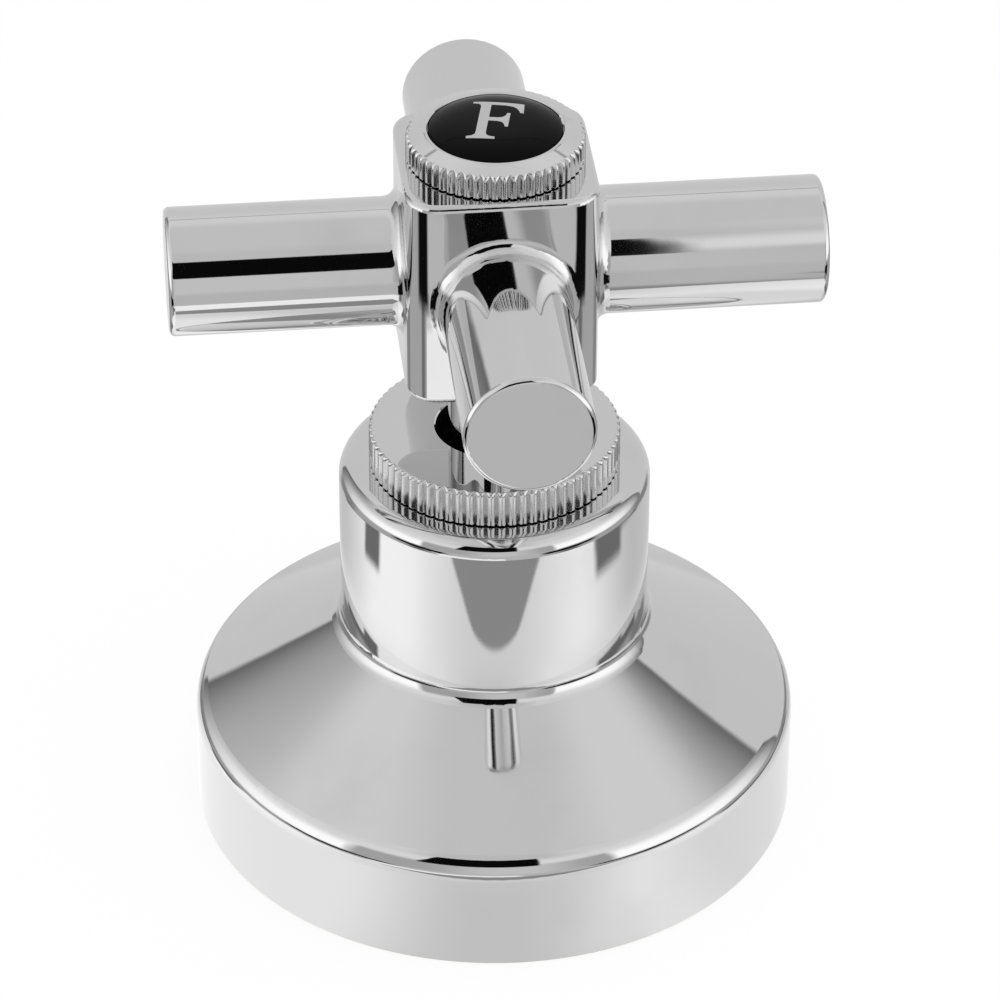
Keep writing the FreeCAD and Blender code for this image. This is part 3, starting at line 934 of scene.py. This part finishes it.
def floor_brightness(tree, stage):
    """Painted light and shade of the floor in reflections: bright close by, with painted shadows farther
    out.

    Bearings are in degrees and distances in millimetres."""
    x, y = split(part_place(tree))[:2]
    side = bearing_of(x, y, stage.tent_turn)
    spread = side.maths("ABSOLUTE")
    distance = axis_distance(x, y) / MM
    # Close by: painted shade in front of the part, brighter to the sides.
    near = 0.76 + spread.step(4, 38) * 0.34 - side.step(34, 60) * 0.16
    light = 0.86 + spread.step(8, 62) * 0.3 + side.band(-95, -50, 15) * 0.1
    light = light - side.step(55, 115) * 0.5 - (1 - side.step(-140, -85)) * 0.5
    light = near.toward(light, distance.step(42, 56))
    for begin, end, soft, starts, full in SIDE_SHADES:
        light = light.toward(0.2, side.band(begin, end, soft) * distance.step(starts, full))
    # Painted grey shade in front, which widens with distance from a rounded end.
    off_centre = (side - 1.0).maths("ABSOLUTE")
    streak = (distance - off_centre * off_centre * 0.016).step(55.5, 57.5)
    light = light.toward(0.34, streak * (1 - (off_centre - distance * 1.03).step(-48.5, -45.5)))
    # White strip behind that streak, then the far floor, black at the front corners.
    front = side.band(-38, 9, 3)
    light = light.toward(1.2, front * distance.step(80, 84))
    far = distance.step(76, 96).toward(distance.step(112, 118), front)
    light = light.toward(far_floor(side, spread), far)
    return light.toward(0.005, spread.band(32, 70, 4) * distance.step(116, 122))


def rays(tree, kind):
    """One for rays of a kind, and 0 for others."""
    return Signal.node(tree, "ShaderNodeLightPath", None, None, kind)


def straight_rays(tree):
    """Rays straight from the camera or through clear things."""
    return rays(tree, "Is Camera Ray").maths("MAXIMUM", rays(tree, "Is Transmission Ray"))


def tent_shader(tree, stage):
    """Cloth that glows with the tent's brightness."""
    return Signal.node(tree, "ShaderNodeEmission", None, {0: tent_brightness(tree, stage), 1: 1.0})


def floor_shader(tree, stage):
    """White for the camera with a faint shadow, a glow for reflections, and a plain sheet for the rest."""
    straight, glossy = straight_rays(tree), rays(tree, "Is Glossy Ray")
    sheet = Signal.node(tree, "ShaderNodeBsdfDiffuse", None, {"Color": (0.85, 0.85, 0.85, 1.0)})
    light = floor_brightness(tree, stage).toward(1.0, straight)
    glow = Signal.node(tree, "ShaderNodeEmission", None, {0: light, 1: 1.0})
    seen = glossy.maths("MAXIMUM", straight * 0.92)
    return Signal.node(tree, "ShaderNodeMixShader", None, {0: seen, 1: sheet, 2: glow})


def add_world():
    """White background for the camera and an even light for the rest."""
    world = bpy.data.worlds.new("studio_light")
    bpy.context.scene.world = world
    world.use_nodes = True
    tree = world.node_tree
    tree.nodes.clear()
    light = 0.7 + straight_rays(tree) * 0.3
    background = Signal.node(tree, "ShaderNodeBackground", None, {0: light, 1: 1.0})
    Signal.node(tree, "ShaderNodeOutputWorld", None, {"Surface": background})


def add_backdrop(name, form, height, material):
    """Piece of the studio from a bmesh form, which isn't sampled as a lamp."""
    mesh = bpy.data.meshes.new(name)
    form.to_mesh(mesh)
    form.free()
    material.cycles.emission_sampling = "NONE"
    mesh.materials.append(material)
    piece = add_object(name, mesh)
    piece.location.z = height
    return piece


def add_tent(stage):
    """Round tent that only reflections show."""
    form = bmesh.new()
    bmesh.ops.create_uvsphere(form, u_segments=128, v_segments=64, radius=stage.tent_radius)
    tent = add_backdrop("studio_tent", form, stage.tent_height,
                        made_material("tent_cloth", tent_shader, stage))
    for kind in ("camera", "diffuse", "transmission", "volume_scatter", "shadow"):
        setattr(tent, "visible_" + kind, False)


def add_floor(stage):
    """White floor disc, just under the part."""
    form = bmesh.new()
    bmesh.ops.create_circle(form, cap_ends=True, segments=96, radius=stage.floor_radius)
    floor = add_backdrop("studio_floor", form, -0.1 * MM, made_material("floor_white", floor_shader, stage))


def add_lamp(name, place, aim, size, watts):
    """Soft square lamp that reflections don't show."""
    data = bpy.data.lights.new(name, "AREA")
    data.energy = watts
    data.size = size
    lamp = add_object(name, data)
    lamp.location = place
    lamp.rotation_mode = "QUATERNION"
    lamp.rotation_quaternion = pointed(place, aim)
    lamp.visible_glossy = False


class TAP_OT_stage(bpy.types.Operator):
    """Set up the camera, the white floor, the studio tent and the lamp"""
    bl_idname = "tap_handle.stage"
    bl_label = "Stage"

    def execute(self, context):
        stage = context.scene.tap_stage
        context.scene.view_settings.view_transform = "Standard"
        add_camera(stage)
        add_world()
        add_tent(stage)
        add_floor(stage)
        add_lamp("lamp_top", place=(0.05, -0.05, 0.5), aim=(0.0, 0.0, 0.03), size=0.5, watts=1.9)
        return {"FINISHED"}


class TAP_PT_panel(bpy.types.Panel):
    """Lists the pieces of the tap handle"""
    bl_idname = "TAP_PT_panel"
    bl_label = "Tap handle"
    bl_space_type = "VIEW_3D"
    bl_region_type = "UI"
    bl_category = "Tap handle"

    def draw(self, context):
        for operator in OPERATORS:
            self.layout.operator(operator.bl_idname)


OPERATORS = (TAP_OT_escutcheon, TAP_OT_lock_nut, TAP_OT_spindle_adaptor, TAP_OT_cross_handle,
             TAP_OT_screw_set, TAP_OT_index_ring, TAP_OT_index_disc, TAP_OT_stage)
GROUPS = {"tap_finish": TapFinish, "tap_knurl": TapKnurl, "tap_nut": TapNut, "tap_adaptor": TapAdaptor,
          "tap_ring": TapRing, "tap_disc": TapDisc, "tap_stage": TapStage}


def register():
    for group in GROUPS.values():
        bpy.utils.register_class(group)
    for operator in OPERATORS:
        bpy.utils.register_class(operator)
    bpy.utils.register_class(TAP_PT_panel)
    for name, group in GROUPS.items():
        setattr(bpy.types.Scene, name, PointerProperty(type=group))


def unregister():
    for name in GROUPS:
        delattr(bpy.types.Scene, name)
    bpy.utils.unregister_class(TAP_PT_panel)
    for operator in reversed(OPERATORS):
        bpy.utils.unregister_class(operator)
    for group in reversed(GROUPS.values()):
        bpy.utils.unregister_class(group)


def main():
    register()
    bpy.ops.tap_handle.escutcheon()
    bpy.ops.tap_handle.lock_nut()
    bpy.ops.tap_handle.spindle_adaptor()
    bpy.ops.tap_handle.cross_handle()
    bpy.ops.tap_handle.screw_set()
    bpy.ops.tap_handle.index_ring()
    bpy.ops.tap_handle.index_disc()
    bpy.ops.tap_handle.stage()


if __name__ == "__main__":
    main()
